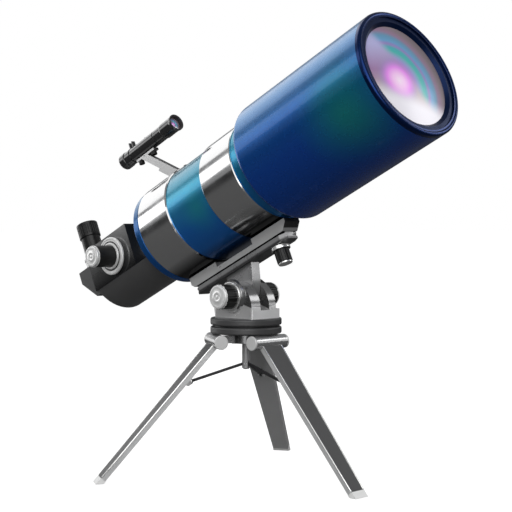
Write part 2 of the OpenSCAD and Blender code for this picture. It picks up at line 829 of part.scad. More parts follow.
module eyepiece_body() {
  shoulder_u = diag_top + 22;
  cup_l = 23.5;
  cup_u = eyepiece_top - cup_l;
  color("#141414") on_eyepiece(0) difference() {
    union() {
      translate([0, 0, shoulder_u]) cylinder(r = 14.8, h = cup_u - shoulder_u + 1);
      translate([0, 0, cup_u]) rounded_disc(eyecup_r, cup_l, 1.4);
    }
    translate([0, 0, shoulder_u - 1]) cylinder(r = 11.5, h = 70);
    for (i = [0 : 29]) rotate([0, 0, i * 12]) translate([eyecup_r + 0.5, 0, cup_u + 4])
      cylinder(r = 1, h = cup_l - 8, $fn = 16);
  }
}

module eyepiece_lenses() {
  color("#b9c6d8") on_eyepiece(eyepiece_top - 14) lens(11.4, 20, 400, 2);
  color("#b9c6d8") on_eyepiece(diag_top + 26) lens(11.4, 26, 400, 2);
}

// ---- finder ----

module finder_bracket() {
  foot_top = ring_r + 4;
  color("#c6c6c8") ota_frame() difference() {
    union() {
      translate([-77, -8, ring_r - 6]) cube([46, 16, 10]);
      translate([0, 4.5, 0]) rotate([90, 0, 0]) linear_extrude(height = 9)
        polygon([[-44.2, foot_top - 1], [-98.9, cradle_low + 1], [-113.8, cradle_low + 1],
                 [-83, 100], [-85.8, 97.2], [-62.6, 74], [-60.2, 71.6]]);
      translate([-124, -4.5, cradle_low]) cube([42, 9, cradle_t]);
    }
    translate([-140, 0, 0]) rotate([0, 90, 0]) cylinder(r = ring_r + eps, h = 160);
    translate([finder_pivot_s - 3.6, -2.3, cradle_low - 1.5]) cube([7.2, 4.6, 10]);
    translate([finder_pivot_s, -6, finder_rise - finder_pivot_drop]) rotate([-90, 0, 0])
      cylinder(r = pivot_r + eps, h = 12);
    for (s = foot_screws) translate([s, 0, ring_r - 4]) cylinder(r = 1.6, h = 20);
    for (s = aim_screws) translate([s, 0, cradle_low - 2]) cylinder(r = aim_r + eps, h = 9);
  }
}

module finder_tube() {
  front = -finder_front;
  color("#161616") on_finder(0) difference() {
    union() {
      translate([0, 0, finder_rear_s]) rounded_disc(12, 12, 1.4);
      translate([0, 0, finder_rear_s + 11]) cylinder(r = 10, h = 3);
      translate([0, 0, finder_rear_s + 13.4]) cylinder(r = 11.4, h = 10.4);
      translate([0, 0, finder_rear_s + 23]) cylinder(r = 10, h = 3);
      translate([0, 0, finder_rear_s + 25.2]) cylinder(r = 10.6, h = 55.8);
      translate([0, 0, -74]) cylinder(r = 9.8, h = 4);
      translate([0, 0, -71.4]) cylinder(r = 10.6, h = 17);
      translate([0, 0, -55]) cylinder(r1 = 10.6, r2 = 11.6, h = 2);
      translate([0, 0, -53]) cylinder(r = 11.6, h = front + 52);
      translate([0, 0, front - 5]) cylinder(r1 = 11.6, r2 = finder_bell_r, h = 2.5);
      translate([0, 0, front - 2.5]) cylinder(r = finder_bell_r, h = 2.5);
      for (s = [-132, -125.5]) translate([-20, -3, s]) cube([11, 6, 1.7]);
      translate([-12, 0, -97]) rotate([0, 90, 0]) cylinder(r = 1.6, h = 4);
      translate([finder_pivot_drop, 2, finder_pivot_s]) rotate([90, 0, 0]) cylinder(r = 2.4, h = 4);
      translate([9, -2, finder_pivot_s - 2.4]) cube([finder_pivot_drop - 9, 4, 4.8]);
    }
    translate([0, 0, finder_rear_s - 1]) cylinder(r = 7.5, h = 200);
    translate([0, 0, front - 9]) cylinder(r = finder_glass_r, h = 10);
    translate([finder_pivot_drop, 6, finder_pivot_s]) rotate([90, 0, 0])
      cylinder(r = pivot_r + fit, h = 12);
  }
}

finder_glass_r = finder_bell_r - 1.9;

module finder_lenses() {
  color("#d9b9c9") on_finder(-finder_front - 9) lens(finder_glass_r - eps, 30, 300, 2.5);
  color("#b9c6d8") on_finder(finder_rear_s + 3) lens(7.5 - eps, 200, 20, 2.5);
}

// Two aiming screws under the finder, its pivot pin, and two screws in its foot
module finder_screws() {
  color("#2a2a2c") ota_frame() {
    for (s = aim_screws) translate([s, 0, cradle_low - 0.4]) {
      cylinder(r = aim_r, h = cradle_t + 0.4);
      translate([0, 0, -4.6]) fluted(4.3, 5, 10, 0.8);
    }
    translate([finder_pivot_s, -4.5, finder_rise - finder_pivot_drop]) rotate([-90, 0, 0])
      cylinder(r = pivot_r, h = 9);
    for (s = foot_screws) translate([s, 0, ring_r + 4 + eps]) {
      cylinder(r = 3, h = 3.4);
      translate([0, 0, -3]) cylinder(r = 1.5, h = 4);
    }
  }
}

tripod_hub();
azimuth_plate_lower();
azimuth_washer();
spindle_nut();
leg_hinge_pins();
leg_front();
leg_left();
leg_right();
hinge_caps_front();
hinge_caps_left();
hinge_caps_right();
foot_front();
foot_left();
foot_right();
centre_post();
brace_pivot_pins();
brace_front();
brace_left();
brace_right();
azimuth_plate_upper();
head_block();
altitude_bolt();
altitude_washers();
altitude_knob_left();
altitude_knob_right();
saddle();
saddle_tongue();
saddle_knob();
dovetail_plate();
dovetail_screws();
tube_ring_front();
tube_ring_rear();
main_tube();
barrel_adapter();
objective_barrel();
front_rim();
corrector_cell();
corrector_lens();
secondary_mirror();
primary_mirror();
mirror_cell();
baffle_tube();
rear_rim();
rear_housing();
focuser_neck();
focuser_box();
focus_flange();
focus_knob();
drawtube();
diagonal_housing();
diagonal_mirror();
eyepiece_holder();
eyepiece_lock_screw();
eyepiece_barrel();
eyepiece_body();
eyepiece_lenses();
finder_bracket();
finder_tube();
finder_lenses();
finder_screws();
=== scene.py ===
import json
import math

import bmesh
import bpy
from mathutils import Matrix, Vector


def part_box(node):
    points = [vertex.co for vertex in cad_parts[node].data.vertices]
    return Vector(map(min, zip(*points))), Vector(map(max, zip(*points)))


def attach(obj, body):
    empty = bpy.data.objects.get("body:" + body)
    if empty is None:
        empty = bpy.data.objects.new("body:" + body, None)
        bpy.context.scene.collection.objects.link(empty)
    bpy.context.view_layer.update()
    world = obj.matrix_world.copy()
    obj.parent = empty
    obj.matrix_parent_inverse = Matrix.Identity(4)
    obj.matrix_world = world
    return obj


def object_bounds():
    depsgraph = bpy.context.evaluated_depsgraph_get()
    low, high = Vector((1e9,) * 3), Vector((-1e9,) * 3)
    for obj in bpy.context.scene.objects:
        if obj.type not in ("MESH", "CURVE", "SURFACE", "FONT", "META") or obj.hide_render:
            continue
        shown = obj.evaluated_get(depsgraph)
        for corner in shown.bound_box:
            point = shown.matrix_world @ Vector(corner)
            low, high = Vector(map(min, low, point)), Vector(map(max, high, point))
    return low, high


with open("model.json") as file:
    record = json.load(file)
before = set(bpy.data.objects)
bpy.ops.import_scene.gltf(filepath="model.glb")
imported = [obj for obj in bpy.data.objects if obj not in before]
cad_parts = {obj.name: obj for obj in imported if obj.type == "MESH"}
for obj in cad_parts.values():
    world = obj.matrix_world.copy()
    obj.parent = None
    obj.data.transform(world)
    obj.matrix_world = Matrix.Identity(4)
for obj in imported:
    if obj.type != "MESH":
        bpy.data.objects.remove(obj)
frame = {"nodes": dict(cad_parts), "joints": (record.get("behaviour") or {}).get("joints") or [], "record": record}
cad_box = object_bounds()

NODES = frame["nodes"]
JOINT = {j["name"]: j for j in frame["joints"]}
MOUNT = {m["name"]: m for m in frame["record"]["mounts"]}
CENTRE = (cad_box[0] + cad_box[1]) / 2
LEGS = ("front", "left", "right")
MM = 0.001

# ---- frames taken from the record ----

T = Vector(JOINT["tube_slide"]["axis"]).normalized()      # along the tube, to the sky
U = Vector(JOINT["eyepiece_slide"]["axis"]).normalized()  # square to the tube, up
Y = Vector((0, 1, 0))
Z = Vector((0, 0, 1))
ALT = Vector(JOINT["altitude_tilt"]["pos_m"])
ON_AXIS = Vector(JOINT["diagonal_turn"]["pos_m"])          # a point on the tube's axis
TUBE0 = ON_AXIS + T * (T.dot(ALT - ON_AXIS))               # level with the altitude axis
TILT = math.atan2(T.z, T.x)


def basis(origin, z, x):
    """Matrix whose Z is z and X is as near x as it can be."""
    z = Vector(z).normalized()
    x = (Vector(x) - z * Vector(x).dot(z)).normalized()
    y = z.cross(x)
    m = Matrix((x, y, z)).transposed().to_4x4()
    m.translation = origin
    return m


def tube_point(s, u):
    """A point s along the tube and u above its axis, in millimetres."""
    return TUBE0 + (T * s + U * u) * MM


# ---- node materials ----

GRAIN_DEPTH = 0.1 * MM
PAINTED_LIGHT_REACH = 85 * MM       # the tube paint's colours, painted shade below and a painted highlight above, run from this far below its axis to above


class Mat:
    """Builds one procedural material: colour, roughness and bump from noise."""

    def __init__(self, name, **sockets):
        self.m = bpy.data.materials.new(name)
        self.m.use_nodes = True
        self.t = self.m.node_tree
        self.b = self.t.nodes["Principled BSDF"]
        for k, v in sockets.items():
            s = self.b.inputs[k.replace("_", " ")]
            s.default_value = (*v, 1.0) if isinstance(v, tuple) and len(v) == 3 else v
        self.co = self.node("ShaderNodeTexCoord").outputs["Object"]

    def node(self, kind, **props):
        n = self.t.nodes.new(kind)
        for k, v in props.items():
            setattr(n, k, v)
        return n

    def link(self, a, b):
        self.t.links.new(a, b)

    def noise(self, scale, detail=3.0, vector=None, stretch=None):
        n = self.node("ShaderNodeTexNoise")
        n.inputs["Scale"].default_value = scale
        n.inputs["Detail"].default_value = detail
        v = vector or self.co
        if stretch:
            mp = self.node("ShaderNodeMapping")
            mp.inputs["Scale"].default_value = stretch
            self.link(v, mp.inputs["Vector"])
            v = mp.outputs["Vector"]
        self.link(v, n.inputs["Vector"])
        return n.outputs["Fac"]

    def tube_co(self):
        """Coordinates with X along the tube and the origin on its axis."""
        mp = self.node("ShaderNodeMapping")
        turn = Matrix.Rotation(TILT, 4, "Y")
        mp.inputs["Rotation"].default_value = (0, TILT, 0)
        mp.inputs["Location"].default_value = -(turn @ TUBE0)
        self.link(self.co, mp.inputs["Vector"])
        return mp.outputs["Vector"]

    def axis(self, vector, letter):
        sep = self.node("ShaderNodeSeparateXYZ")
        self.link(vector, sep.inputs[0])
        return sep.outputs[letter]

    def math(self, op, a, b=None, c=None):
        n = self.node("ShaderNodeMath", operation=op)
        for i, v in enumerate((a, b, c)):
            if v is None:
                continue
            if isinstance(v, (int, float)):
                n.inputs[i].default_value = v
            else:
                self.link(v, n.inputs[i])
        return n.outputs[0]

    def ramp(self, fac, stops):
        r = self.node("ShaderNodeValToRGB")
        e = r.color_ramp.elements
        while len(e) < len(stops):
            e.new(0.5)
        for el, (p, c) in zip(e, stops):
            el.position = p
            el.color = (*c, 1.0)
        self.link(fac, r.inputs["Fac"])
        return r.outputs["Color"]

    def remap(self, fac, lo, hi, src=(0.0, 1.0), smooth=False):
        r = self.node("ShaderNodeMapRange")
        if smooth:
            r.interpolation_type = "SMOOTHSTEP"
        r.inputs["From Min"].default_value = src[0]
        r.inputs["From Max"].default_value = src[1]
        r.inputs["To Min"].default_value = lo
        r.inputs["To Max"].default_value = hi
        self.link(fac, r.inputs["Value"])
        return r.outputs["Result"]

    def mix(self, a, b, fac, blend="MIX"):
        n = self.node("ShaderNodeMix", data_type="RGBA", blend_type=blend)
        if isinstance(fac, (int, float)):
            n.inputs["Factor"].default_value = fac
        else:
            self.link(fac, n.inputs["Factor"])
        for v, k in ((a, "A"), (b, "B")):
            s = [i for i in n.inputs if i.name == k and i.type == "RGBA"][0]
            if isinstance(v, tuple):
                s.default_value = (*v, 1.0)
            else:
                self.link(v, s)
        return [o for o in n.outputs if o.type == "RGBA"][0]

    def tint(self, colour, fac, amount):
        """Varies a colour by a noise: multiplied between 1-amount and 1+amount."""
        grey = self.remap(fac, 1 - amount, 1 + amount, (0.3, 0.7))
        comb = self.node("ShaderNodeCombineColor")
        for i in range(3):
            self.link(grey, comb.inputs[i])
        return self.mix(colour, comb.outputs[0], 1.0, "MULTIPLY")

    def colour(self, out):
        self.link(out, self.b.inputs["Base Color"])

    def rough(self, fac, lo, hi):
        self.link(self.remap(fac, lo, hi, (0.3, 0.7)), self.b.inputs["Roughness"])

    def bump(self, fac, strength):
        n = self.node("ShaderNodeBump")
        n.inputs["Strength"].default_value = strength
        n.inputs["Distance"].default_value = GRAIN_DEPTH
        self.link(fac, n.inputs["Height"])
        self.link(n.outputs["Normal"], self.b.inputs["Normal"])


def finish_of(name, base, rough, vary=0.05, grain=1500.0, grain_strength=0.02, cloud=22.0,
              rough_vary=0.04, stretch=None, in_tube=False, rise=None, **sockets):
    """A paint, metal or plastic: cloudy colour, uneven gloss and a fine grain.
    rise is (low u, high u, colour below), in millimetres from the tube's axis: painted light
    and shade, the colour below under low u and the base colour above high u."""
    mt = Mat(name, **sockets)
    tube = mt.tube_co() if in_tube or rise else None
    shade = base
    if rise:
        low, high, below = rise
        shade = mt.mix(below, base, mt.remap(mt.axis(tube, "Z"), 0, 1, (low * MM, high * MM)))
    mt.colour(mt.tint(shade, mt.noise(cloud, 4.0), vary))
    mt.rough(mt.noise(cloud * 2, 2.0), rough - rough_vary, rough + rough_vary)
    mt.bump(mt.noise(grain, 2.0, vector=tube, stretch=stretch), grain_strength)
    return mt.m


def turned(name, base, rough, **more):
    """Metal turned on the tube's axis: fine rings round the tube."""
    return finish_of(name, base, rough, grain=700.0, grain_strength=0.04, in_tube=True,
                     stretch=(1.0, 0.02, 0.02), **more)


def shaded_tube_paint(name, low, mid, high, rough, green=None, foot=None):
    """Metallic paint with painted light in its colour: three colours from the tube's underside
    to its top that paint shade below and a highlight above; a green cast (colour, place and
    size in tube coordinates) that is a painted sheen; and a darker foot along the underside
    that is a painted shadow and a painted reflection of the dark plate under the tube."""
    mt = Mat(name, Metallic=0.62, Coat_Weight=0.28, Coat_Roughness=0.06, Specular_IOR_Level=0.3)
    tube = mt.tube_co()
    # Painted light: the colour ramp by height darkens the underside and lightens the top as a painted highlight.
    up = mt.remap(mt.axis(tube, "Z"), 0.0, 1.0, (-PAINTED_LIGHT_REACH, PAINTED_LIGHT_REACH))
    # The darker foot is a painted shadow and a painted reflection of the dark plate under the tube.
    foot = foot or low
    base = mt.ramp(up, [(0.0, foot), (0.07, foot), (0.15, low), (0.30, low), (0.60, mid),
                        (0.80, high), (1.0, high)])
    # The green cast is a painted sheen: the paint's teal reflection put into its colour.
    if green:
        colour, where, size = green
        off = mt.node("ShaderNodeVectorMath", operation="DISTANCE")
        off.inputs[1].default_value = Vector(where) * MM
        mt.link(tube, off.inputs[0])
        wave = mt.math("MULTIPLY_ADD", mt.noise(9.0, 2.0), 0.04, off.outputs["Value"])
        base = mt.mix(colour, base, mt.remap(wave, 0, 1, (0.2 * size * MM, size * MM), True))
    mt.colour(mt.tint(base, mt.noise(2600.0, 1.0), 0.08))
    mt.rough(mt.noise(60.0), rough - 0.03, rough + 0.03)
    mt.bump(mt.noise(420.0, 2.0), 0.015)
    return mt.m


def glass_with_painted_reflections(name, centre, radius, glow):
    """Coated glass with its reflections painted into its colour: a violet middle and green and blue
    arcs on one side are painted reflections of the coating, and a pale patch at the foot is a
    painted highlight. glow is the colour of the glass at its top, its middle and its foot, a painted
    light and shade."""
    mt = Mat(name, Roughness=0.34, Metallic=0.15, Specular_IOR_Level=0.3, Coat_Weight=0.25,
             Coat_Roughness=0.12)
    local = mt.node("ShaderNodeVectorMath", operation="SUBTRACT")
    local.inputs[1].default_value = centre
    mt.link(mt.co, local.inputs[0])

    def along(direction):
        dot = mt.node("ShaderNodeVectorMath", operation="DOT_PRODUCT")
        dot.inputs[1].default_value = direction / radius
        mt.link(local.outputs[0], dot.inputs[0])
        return dot.outputs["Value"]

    side, up = along(Y), along(U)
    pale, mauve, brown = glow
    # Painted light and shade: pale at the top, brown at the foot.
    plain = mt.ramp(mt.math("MULTIPLY_ADD", up, 0.5, 0.5),
                    [(0.0, brown), (0.30, brown), (0.52, mauve), (0.78, pale), (1.0, pale)])
    x = mt.math("MULTIPLY_ADD", mt.noise(22.0, 1.0), 0.10, mt.math("ADD", side, 0.295))
    y = mt.math("ADD", up, 0.17)
    dist = mt.math("SQRT", mt.math("ADD", mt.math("MULTIPLY", x, x), mt.math("MULTIPLY", y, y)))
    # Painted reflections of the coating: coloured rings round a point to one side, shown in the middle and on a
    # slant to that side.
    rings = mt.ramp(mt.math("DIVIDE", dist, 1.4), [
        (0.0, (0.92, 0.74, 0.90)), (0.10, (0.90, 0.55, 0.88)), (0.19, (0.78, 0.26, 0.84)),
        (0.29, (0.40, 0.25, 0.64)), (0.36, (0.24, 0.36, 0.56)), (0.43, (0.06, 0.46, 0.42)),
        (0.49, (0.07, 0.40, 0.46)), (0.54, (0.30, 0.22, 0.52)), (0.59, (0.13, 0.34, 0.58)),
        (0.67, (0.12, 0.30, 0.46)), (0.74, (0.30, 0.19, 0.30)), (0.84, (0.24, 0.19, 0.21)),
        (1.0, (0.22, 0.19, 0.21))])
    middle = mt.remap(dist, 1.0, 0.0, (0.22, 0.52), True)
    slant = mt.math("MULTIPLY_ADD", side, 0.9, mt.math("MULTIPLY", up, 0.55))
    arcs = mt.remap(slant, 0.0, 1.0, (-0.22, 0.06), True)
    tinted = mt.mix(plain, rings, mt.math("MAXIMUM", middle, arcs))
    # A painted highlight: a pale patch at the foot.
    low = mt.math("MULTIPLY_ADD", side, -0.25, mt.math("MULTIPLY", up, -1.0))
    painted_flare = mt.remap(low, 0.0, 1.0, (0.34, 0.72), True)
    mt.colour(mt.mix(tinted, (0.82, 0.80, 0.86), painted_flare))
    return mt.m


def give(mat, *names):
    """Makes mat the only material of the named CAD nodes."""
    for n in names:
        me = NODES[n].data
        me.materials.clear()
        me.materials.append(mat)
        for p in me.polygons:
            p.material_index = 0


def give_part(node, mat, where):
    """A second material on the faces of a CAD node that where(centre, normal) picks."""
    me = NODES[node].data
    me.materials.append(mat)
    index = len(me.materials) - 1
    for p in me.polygons:
        if where(p.center, p.normal):
            p.material_index = index


# ---- finishes ----

# In the tube paints the lighter tops are painted highlights, the green casts a painted sheen and the main tube's
# near-black foot a painted shadow and reflection.
barrel_paint = shaded_tube_paint("barrel_paint", (0.003, 0.058, 0.34), (0.004, 0.085, 0.29),
                          (0.070, 0.21, 0.43), 0.27, ((0.006, 0.20, 0.22), (318, -78, -30), 105))
main_paint_shaded = shaded_tube_paint("main_paint_shaded", (0.010, 0.14, 0.50), (0.030, 0.28, 0.42),
                        (0.060, 0.26, 0.36), 0.24, ((0.016, 0.27, 0.36), (30, -68, -15), 62),
                        (0.002, 0.004, 0.010))
adapter_paint_shaded = shaded_tube_paint("adapter_paint_shaded", (0.005, 0.13, 0.36), (0.018, 0.27, 0.44),
                           (0.04, 0.28, 0.38), 0.24)
rear_paint_shaded = shaded_tube_paint("rear_paint_shaded", (0.004, 0.080, 0.30), (0.008, 0.085, 0.26),
                        (0.030, 0.13, 0.27), 0.24)
rim_paint = finish_of("rim_paint", (0.003, 0.018, 0.09), 0.24, Metallic=0.85, Coat_Weight=0.1,
                      Coat_Roughness=0.05, Specular_IOR_Level=0.2)
# The rings turn near black below the tube: painted shade and a painted reflection of the dark plate under them.
ring_steel_shaded = turned("ring_steel_shaded", (0.66, 0.66, 0.66), 0.13, Metallic=1.0, vary=0.02,
                    rise=(-68, -56, (0.03, 0.03, 0.03)))
plate_metal = finish_of("plate_metal", (0.50, 0.50, 0.50), 0.30, Metallic=0.5)
plate_shade = finish_of("plate_shade", (0.010, 0.010, 0.010), 0.22, Metallic=0.3)
# The saddle's lowest strip turns darker: painted shade.
saddle_metal = finish_of("saddle_metal", (0.30, 0.30, 0.302), 0.28, Metallic=0.6,
                         rise=(-97.6, -95.2, (0.055, 0.055, 0.056)))
# The dovetail plate's front end: near black up by the tube, a painted shade, and pale on the rail below.
plate_end_shaded = finish_of("plate_end_shaded", (0.030, 0.030, 0.031), 0.30, Metallic=0.5,
                      rise=(-85.6, -85.0, (0.36, 0.36, 0.362)))
saddle_shade = finish_of("saddle_shade", (0.045, 0.045, 0.046), 0.34, Metallic=0.4)
# A lighter copy of the cast metal for the head block's faces towards +X: painted light.
block_face_lit = finish_of("block_face_lit", (0.74, 0.74, 0.742), 0.30, Metallic=0.35)
cast_metal = finish_of("cast_metal", (0.56, 0.56, 0.562), 0.24, Metallic=0.5)
ear_metal = finish_of("ear_metal", (0.24, 0.24, 0.242), 0.20, Metallic=0.85)
tongue_metal = finish_of("tongue_metal", (0.38, 0.38, 0.383), 0.28, Metallic=0.75)
bracket_metal = finish_of("bracket_metal", (0.50, 0.50, 0.502), 0.30, Metallic=0.65)
flange_metal = finish_of("flange_metal", (0.70, 0.70, 0.695), 0.36, Metallic=0.35, vary=0.02)
hub_metal = finish_of("hub_metal", (0.33, 0.33, 0.335), 0.28, Metallic=0.9)
bright_metal = finish_of("bright_metal", (0.80, 0.80, 0.79), 0.20, Metallic=0.85, vary=0.04)
satin_metal = finish_of("satin_metal", (0.74, 0.74, 0.74), 0.30, Metallic=0.6)
cap_metal = finish_of("cap_metal", (0.76, 0.76, 0.756), 0.32, Metallic=0.45, vary=0.04)
disc_paint = finish_of("disc_paint", (0.052, 0.052, 0.053), 0.42, Metallic=0.2)
leg_paint = finish_of("leg_paint", (0.082, 0.082, 0.083), 0.48, Specular_IOR_Level=0.14)
# Lighter copies of the leg paint for the legs' side faces and inner faces: painted light, on the inner faces for
# light bounced up from the floor.
leg_side_lit = finish_of("leg_side_lit", (0.66, 0.66, 0.66), 0.34, Metallic=0.45)
leg_inner_lit = finish_of("leg_inner_lit", (0.44, 0.44, 0.442), 0.42, Metallic=0.1)
barrel_metal = finish_of("barrel_metal", (0.46, 0.46, 0.463), 0.24, Metallic=0.85)
post_paint = finish_of("post_paint", (0.34, 0.34, 0.343), 0.36, Metallic=0.3)
cap_plastic = finish_of("cap_plastic", (0.60, 0.60, 0.597), 0.32, Metallic=0.2)
foot_rubber = finish_of("foot_rubber", (0.80, 0.80, 0.79), 0.6, grain=1500.0, grain_strength=0.2)
black_grip = finish_of("black_grip", (0.004, 0.004, 0.004), 0.30, Specular_IOR_Level=0.28)
knob_black = finish_of("knob_black", (0.010, 0.010, 0.010), 0.42, Specular_IOR_Level=0.35)
black_flat = finish_of("black_flat", (0.008, 0.008, 0.009), 0.5, grain=1400.0)
cell_paint = finish_of("cell_paint", (0.002, 0.010, 0.045), 0.34, Metallic=0.6,
                       Specular_IOR_Level=0.15)
inner_black = finish_of("inner_black", (0.003, 0.005, 0.012), 0.5, Specular_IOR_Level=0.12)
# Dark low down and light at the top: painted shade and light on the focuser box's sides.
box_side_shaded = finish_of("box_side_shaded", (0.40, 0.40, 0.40), 0.12, Metallic=0.7, rough_vary=0.02,
                     rise=(-24, 40, (0.040, 0.040, 0.042)))
# Near black for the focuser box's front end: painted shade.
box_front_shade = finish_of("box_front_shade", (0.006, 0.006, 0.006), 0.35)
drum_paint = finish_of("drum_paint", (0.088, 0.088, 0.089), 0.36, Metallic=0.25, Coat_Weight=0.15)
diagonal_paint = finish_of("diagonal_paint", (0.060, 0.060, 0.061), 0.36, Metallic=0.3)
finder_paint = finish_of("finder_paint", (0.011, 0.011, 0.012), 0.22, Coat_Weight=0.9,
                         Coat_Roughness=0.08)
brace_paint = finish_of("brace_paint", (0.045, 0.045, 0.047), 0.36, Metallic=0.5)
rubber_cup = finish_of("rubber_cup", (0.005, 0.005, 0.005), 0.26, grain=1800.0,
                       grain_strength=0.06, Specular_IOR_Level=0.30)
mirror = finish_of("mirror_coat", (0.88, 0.88, 0.90), 0.06, Metallic=1.0, vary=0.01,
                   rough_vary=0.02, grain_strength=0.01)

# The colours of the lens glass are painted reflections and a painted highlight.
lens_lo, lens_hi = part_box("corrector_lens")
front_glass_painted = glass_with_painted_reflections("front_glass_painted", (lens_lo + lens_hi) / 2, (lens_hi.y - lens_lo.y) / 2,
                           ((0.46, 0.45, 0.72), (0.34, 0.20, 0.38), (0.50, 0.42, 0.44)))
finder_mid = Vector(JOINT["finder_aim"]["pos_m"]) + U * 13.6 * MM  # a point on the finder's axis
finder_glass_painted = glass_with_painted_reflections("finder_glass_painted", finder_mid + T * 125 * MM, 9 * MM,
                            ((0.30, 0.26, 0.28), (0.16, 0.08, 0.11), (0.10, 0.05, 0.07)))

give(barrel_paint, "objective_barrel")
give(main_paint_shaded, "main_tube")
give(rear_paint_shaded, "rear_rim")
give(adapter_paint_shaded, "barrel_adapter")
give(rim_paint, "front_rim")
give(ring_steel_shaded, "tube_ring_front", "tube_ring_rear")
give(plate_metal, "dovetail_plate")
give(saddle_metal, "saddle")
give(cast_metal, "head_block")
give(tongue_metal, "saddle_tongue")
give(hub_metal, "tripod_hub")
give(bright_metal, "altitude_washers", "eyepiece_barrel", "altitude_bolt")
give(flange_metal, "focus_flange")
give(satin_metal, "focuser_neck", "drawtube", "eyepiece_holder", "spindle_nut",
     "leg_hinge_pins", "brace_pivot_pins")
give(bracket_metal, "finder_bracket")
give(disc_paint, "azimuth_plate_lower", "azimuth_plate_upper")
give(post_paint, "centre_post")
for mat, stem in ((leg_paint, "leg_"), (brace_paint, "brace_"), (cap_plastic, "hinge_caps_"),
                  (foot_rubber, "foot_")):
    give(mat, *(stem + n for n in LEGS))
give(black_grip, "altitude_knob_left", "altitude_knob_right", "saddle_knob",
     "eyepiece_lock_screw", "finder_screws", "dovetail_screws")
give(knob_black, "focus_knob")
give(black_flat, "azimuth_washer")
give(cell_paint, "corrector_cell")
give(inner_black, "mirror_cell", "baffle_tube")
give(box_side_shaded, "focuser_box")
give(diagonal_paint, "diagonal_housing")
give(drum_paint, "rear_housing")
give(finder_paint, "finder_tube")
give(rubber_cup, "eyepiece_body")
give(mirror, "primary_mirror", "secondary_mirror", "diagonal_mirror")
give(front_glass_painted, "corrector_lens")
give(finder_glass_painted, "finder_lenses", "eyepiece_lenses")

# Second materials, on faces picked by where they are (in millimetres) and how they face
ALT_CAP, FOCUS_CAP = 3.7, 4.2               # how far the pale cap of a knob reaches inwards
GRIP_FROM, GRIP_TO = -23.2, -5.6            # the saddle knob's black grip, down from its joint
LEDGE_U = -88.7                             # the dovetail plate is dark below this
EARS_BELOW = 13                             # the ears begin this far under the altitude axis

knob_face = {}
for side, name in ((-1, "left"), (1, "right")):
    lo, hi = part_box("altitude_knob_" + name)
    knob_face[name] = face = (lo if side < 0 else hi).y
    give_part("altitude_knob_" + name, cap_metal,
              lambda c, n: (face - c.y) * side < ALT_CAP * MM)
focus_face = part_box("focus_knob")[0].y
give_part("focus_knob", cap_metal, lambda c, n: c.y < focus_face + FOCUS_CAP * MM)
screw_top = U.dot(Vector(JOINT["saddle_knob_turn"]["pos_m"]))
give_part("saddle_knob", bright_metal,
          lambda c, n: not GRIP_FROM * MM < U.dot(c) - screw_top < GRIP_TO * MM)
# Painted shade: the box's front end faces get the near black.
give_part("focuser_box", box_front_shade, lambda c, n: n.dot(T) > 0.9)
give_part("finder_bracket", plate_shade, lambda c, n: n.dot(T) > 0.6)
give_part("dovetail_plate", plate_shade,
          lambda c, n: n.dot(T) < 0.5 and (abs(n.dot(U)) > 0.5
                                           or (c - TUBE0).dot(U) < LEDGE_U * MM))
# Painted shade on the plate's front end faces, dark up by the tube.
give_part("dovetail_plate", plate_end_shaded, lambda c, n: n.dot(T) > 0.5)
give_part("saddle", saddle_shade, lambda c, n: n.dot(U) < -0.5)
# Painted light: the lighter copy on the faces towards +X.
give_part("head_block", block_face_lit, lambda c, n: n.x > 0.8)
give_part("head_block", ear_metal, lambda c, n: c.z > ALT.z - EARS_BELOW * MM)

# A leg in millimetres: half its width at the hinge and at the foot, half its thickness, its
# length, and the radius of its hinge barrel
LEG_TOP, LEG_FOOT, LEG_T, LEG_END, BARREL_R = 17.5, 11.75, 3.75, 236.0, 9.4


def leg_frame(name):
    """The leg's hinge, and its directions down the leg, across it and out of its face."""
    hinge = Vector(JOINT["leg_%s_fold" % name]["pos_m"])
    down = (Vector(MOUNT["foot_" + name]["pos_m"]) - hinge).normalized()
    across = Vector(JOINT["leg_%s_fold" % name]["axis"]).normalized()
    out = across.cross(down)
    return hinge, down, across, out if out.z > 0 else -out


for name in LEGS:
    hinge, down, across, out = leg_frame(name)
    # Painted light: lighter copies of the leg paint on the side faces and the inner face.
    give_part("leg_" + name, leg_side_lit, lambda c, n: abs(n.dot(across)) > 0.93)
    give_part("leg_" + name, leg_inner_lit, lambda c, n: n.dot(out) < -0.8)
    give_part("leg_" + name, barrel_metal,
              lambda c, n: (c - hinge - across * across.dot(c - hinge)).length
              < (BARREL_R + 0.3) * MM)


# ---- shading and fine bevels of the castings ----

def soften(node, width):
    """Smooth shading and a fine bevel for a flat-sided casting. width is in millimetres, but the
    smallest faces next to an edge hold the bevel to far less."""
    o = NODES[node]
    for p in o.data.polygons:
        p.use_smooth = True
    weld = o.modifiers.new("weld", "WELD")
    weld.merge_threshold = 0.01 * MM
    merge = o.modifiers.new("merge", "DECIMATE")
    merge.decimate_type = "DISSOLVE"
    merge.angle_limit = math.radians(0.6)
    merge.delimit = {"MATERIAL"}
    bevel = o.modifiers.new("bevel", "BEVEL")
    bevel.width = width * MM
    bevel.segments = 3
    bevel.limit_method = "ANGLE"
    bevel.angle_limit = math.radians(38)
    bevel.use_clamp_overlap = True
    weighted = o.modifiers.new("weighted", "WEIGHTED_NORMAL")
    weighted.keep_sharp = True


soften("saddle_tongue", 1.6)
soften("head_block", 0.6)


# ---- extra pieces ----

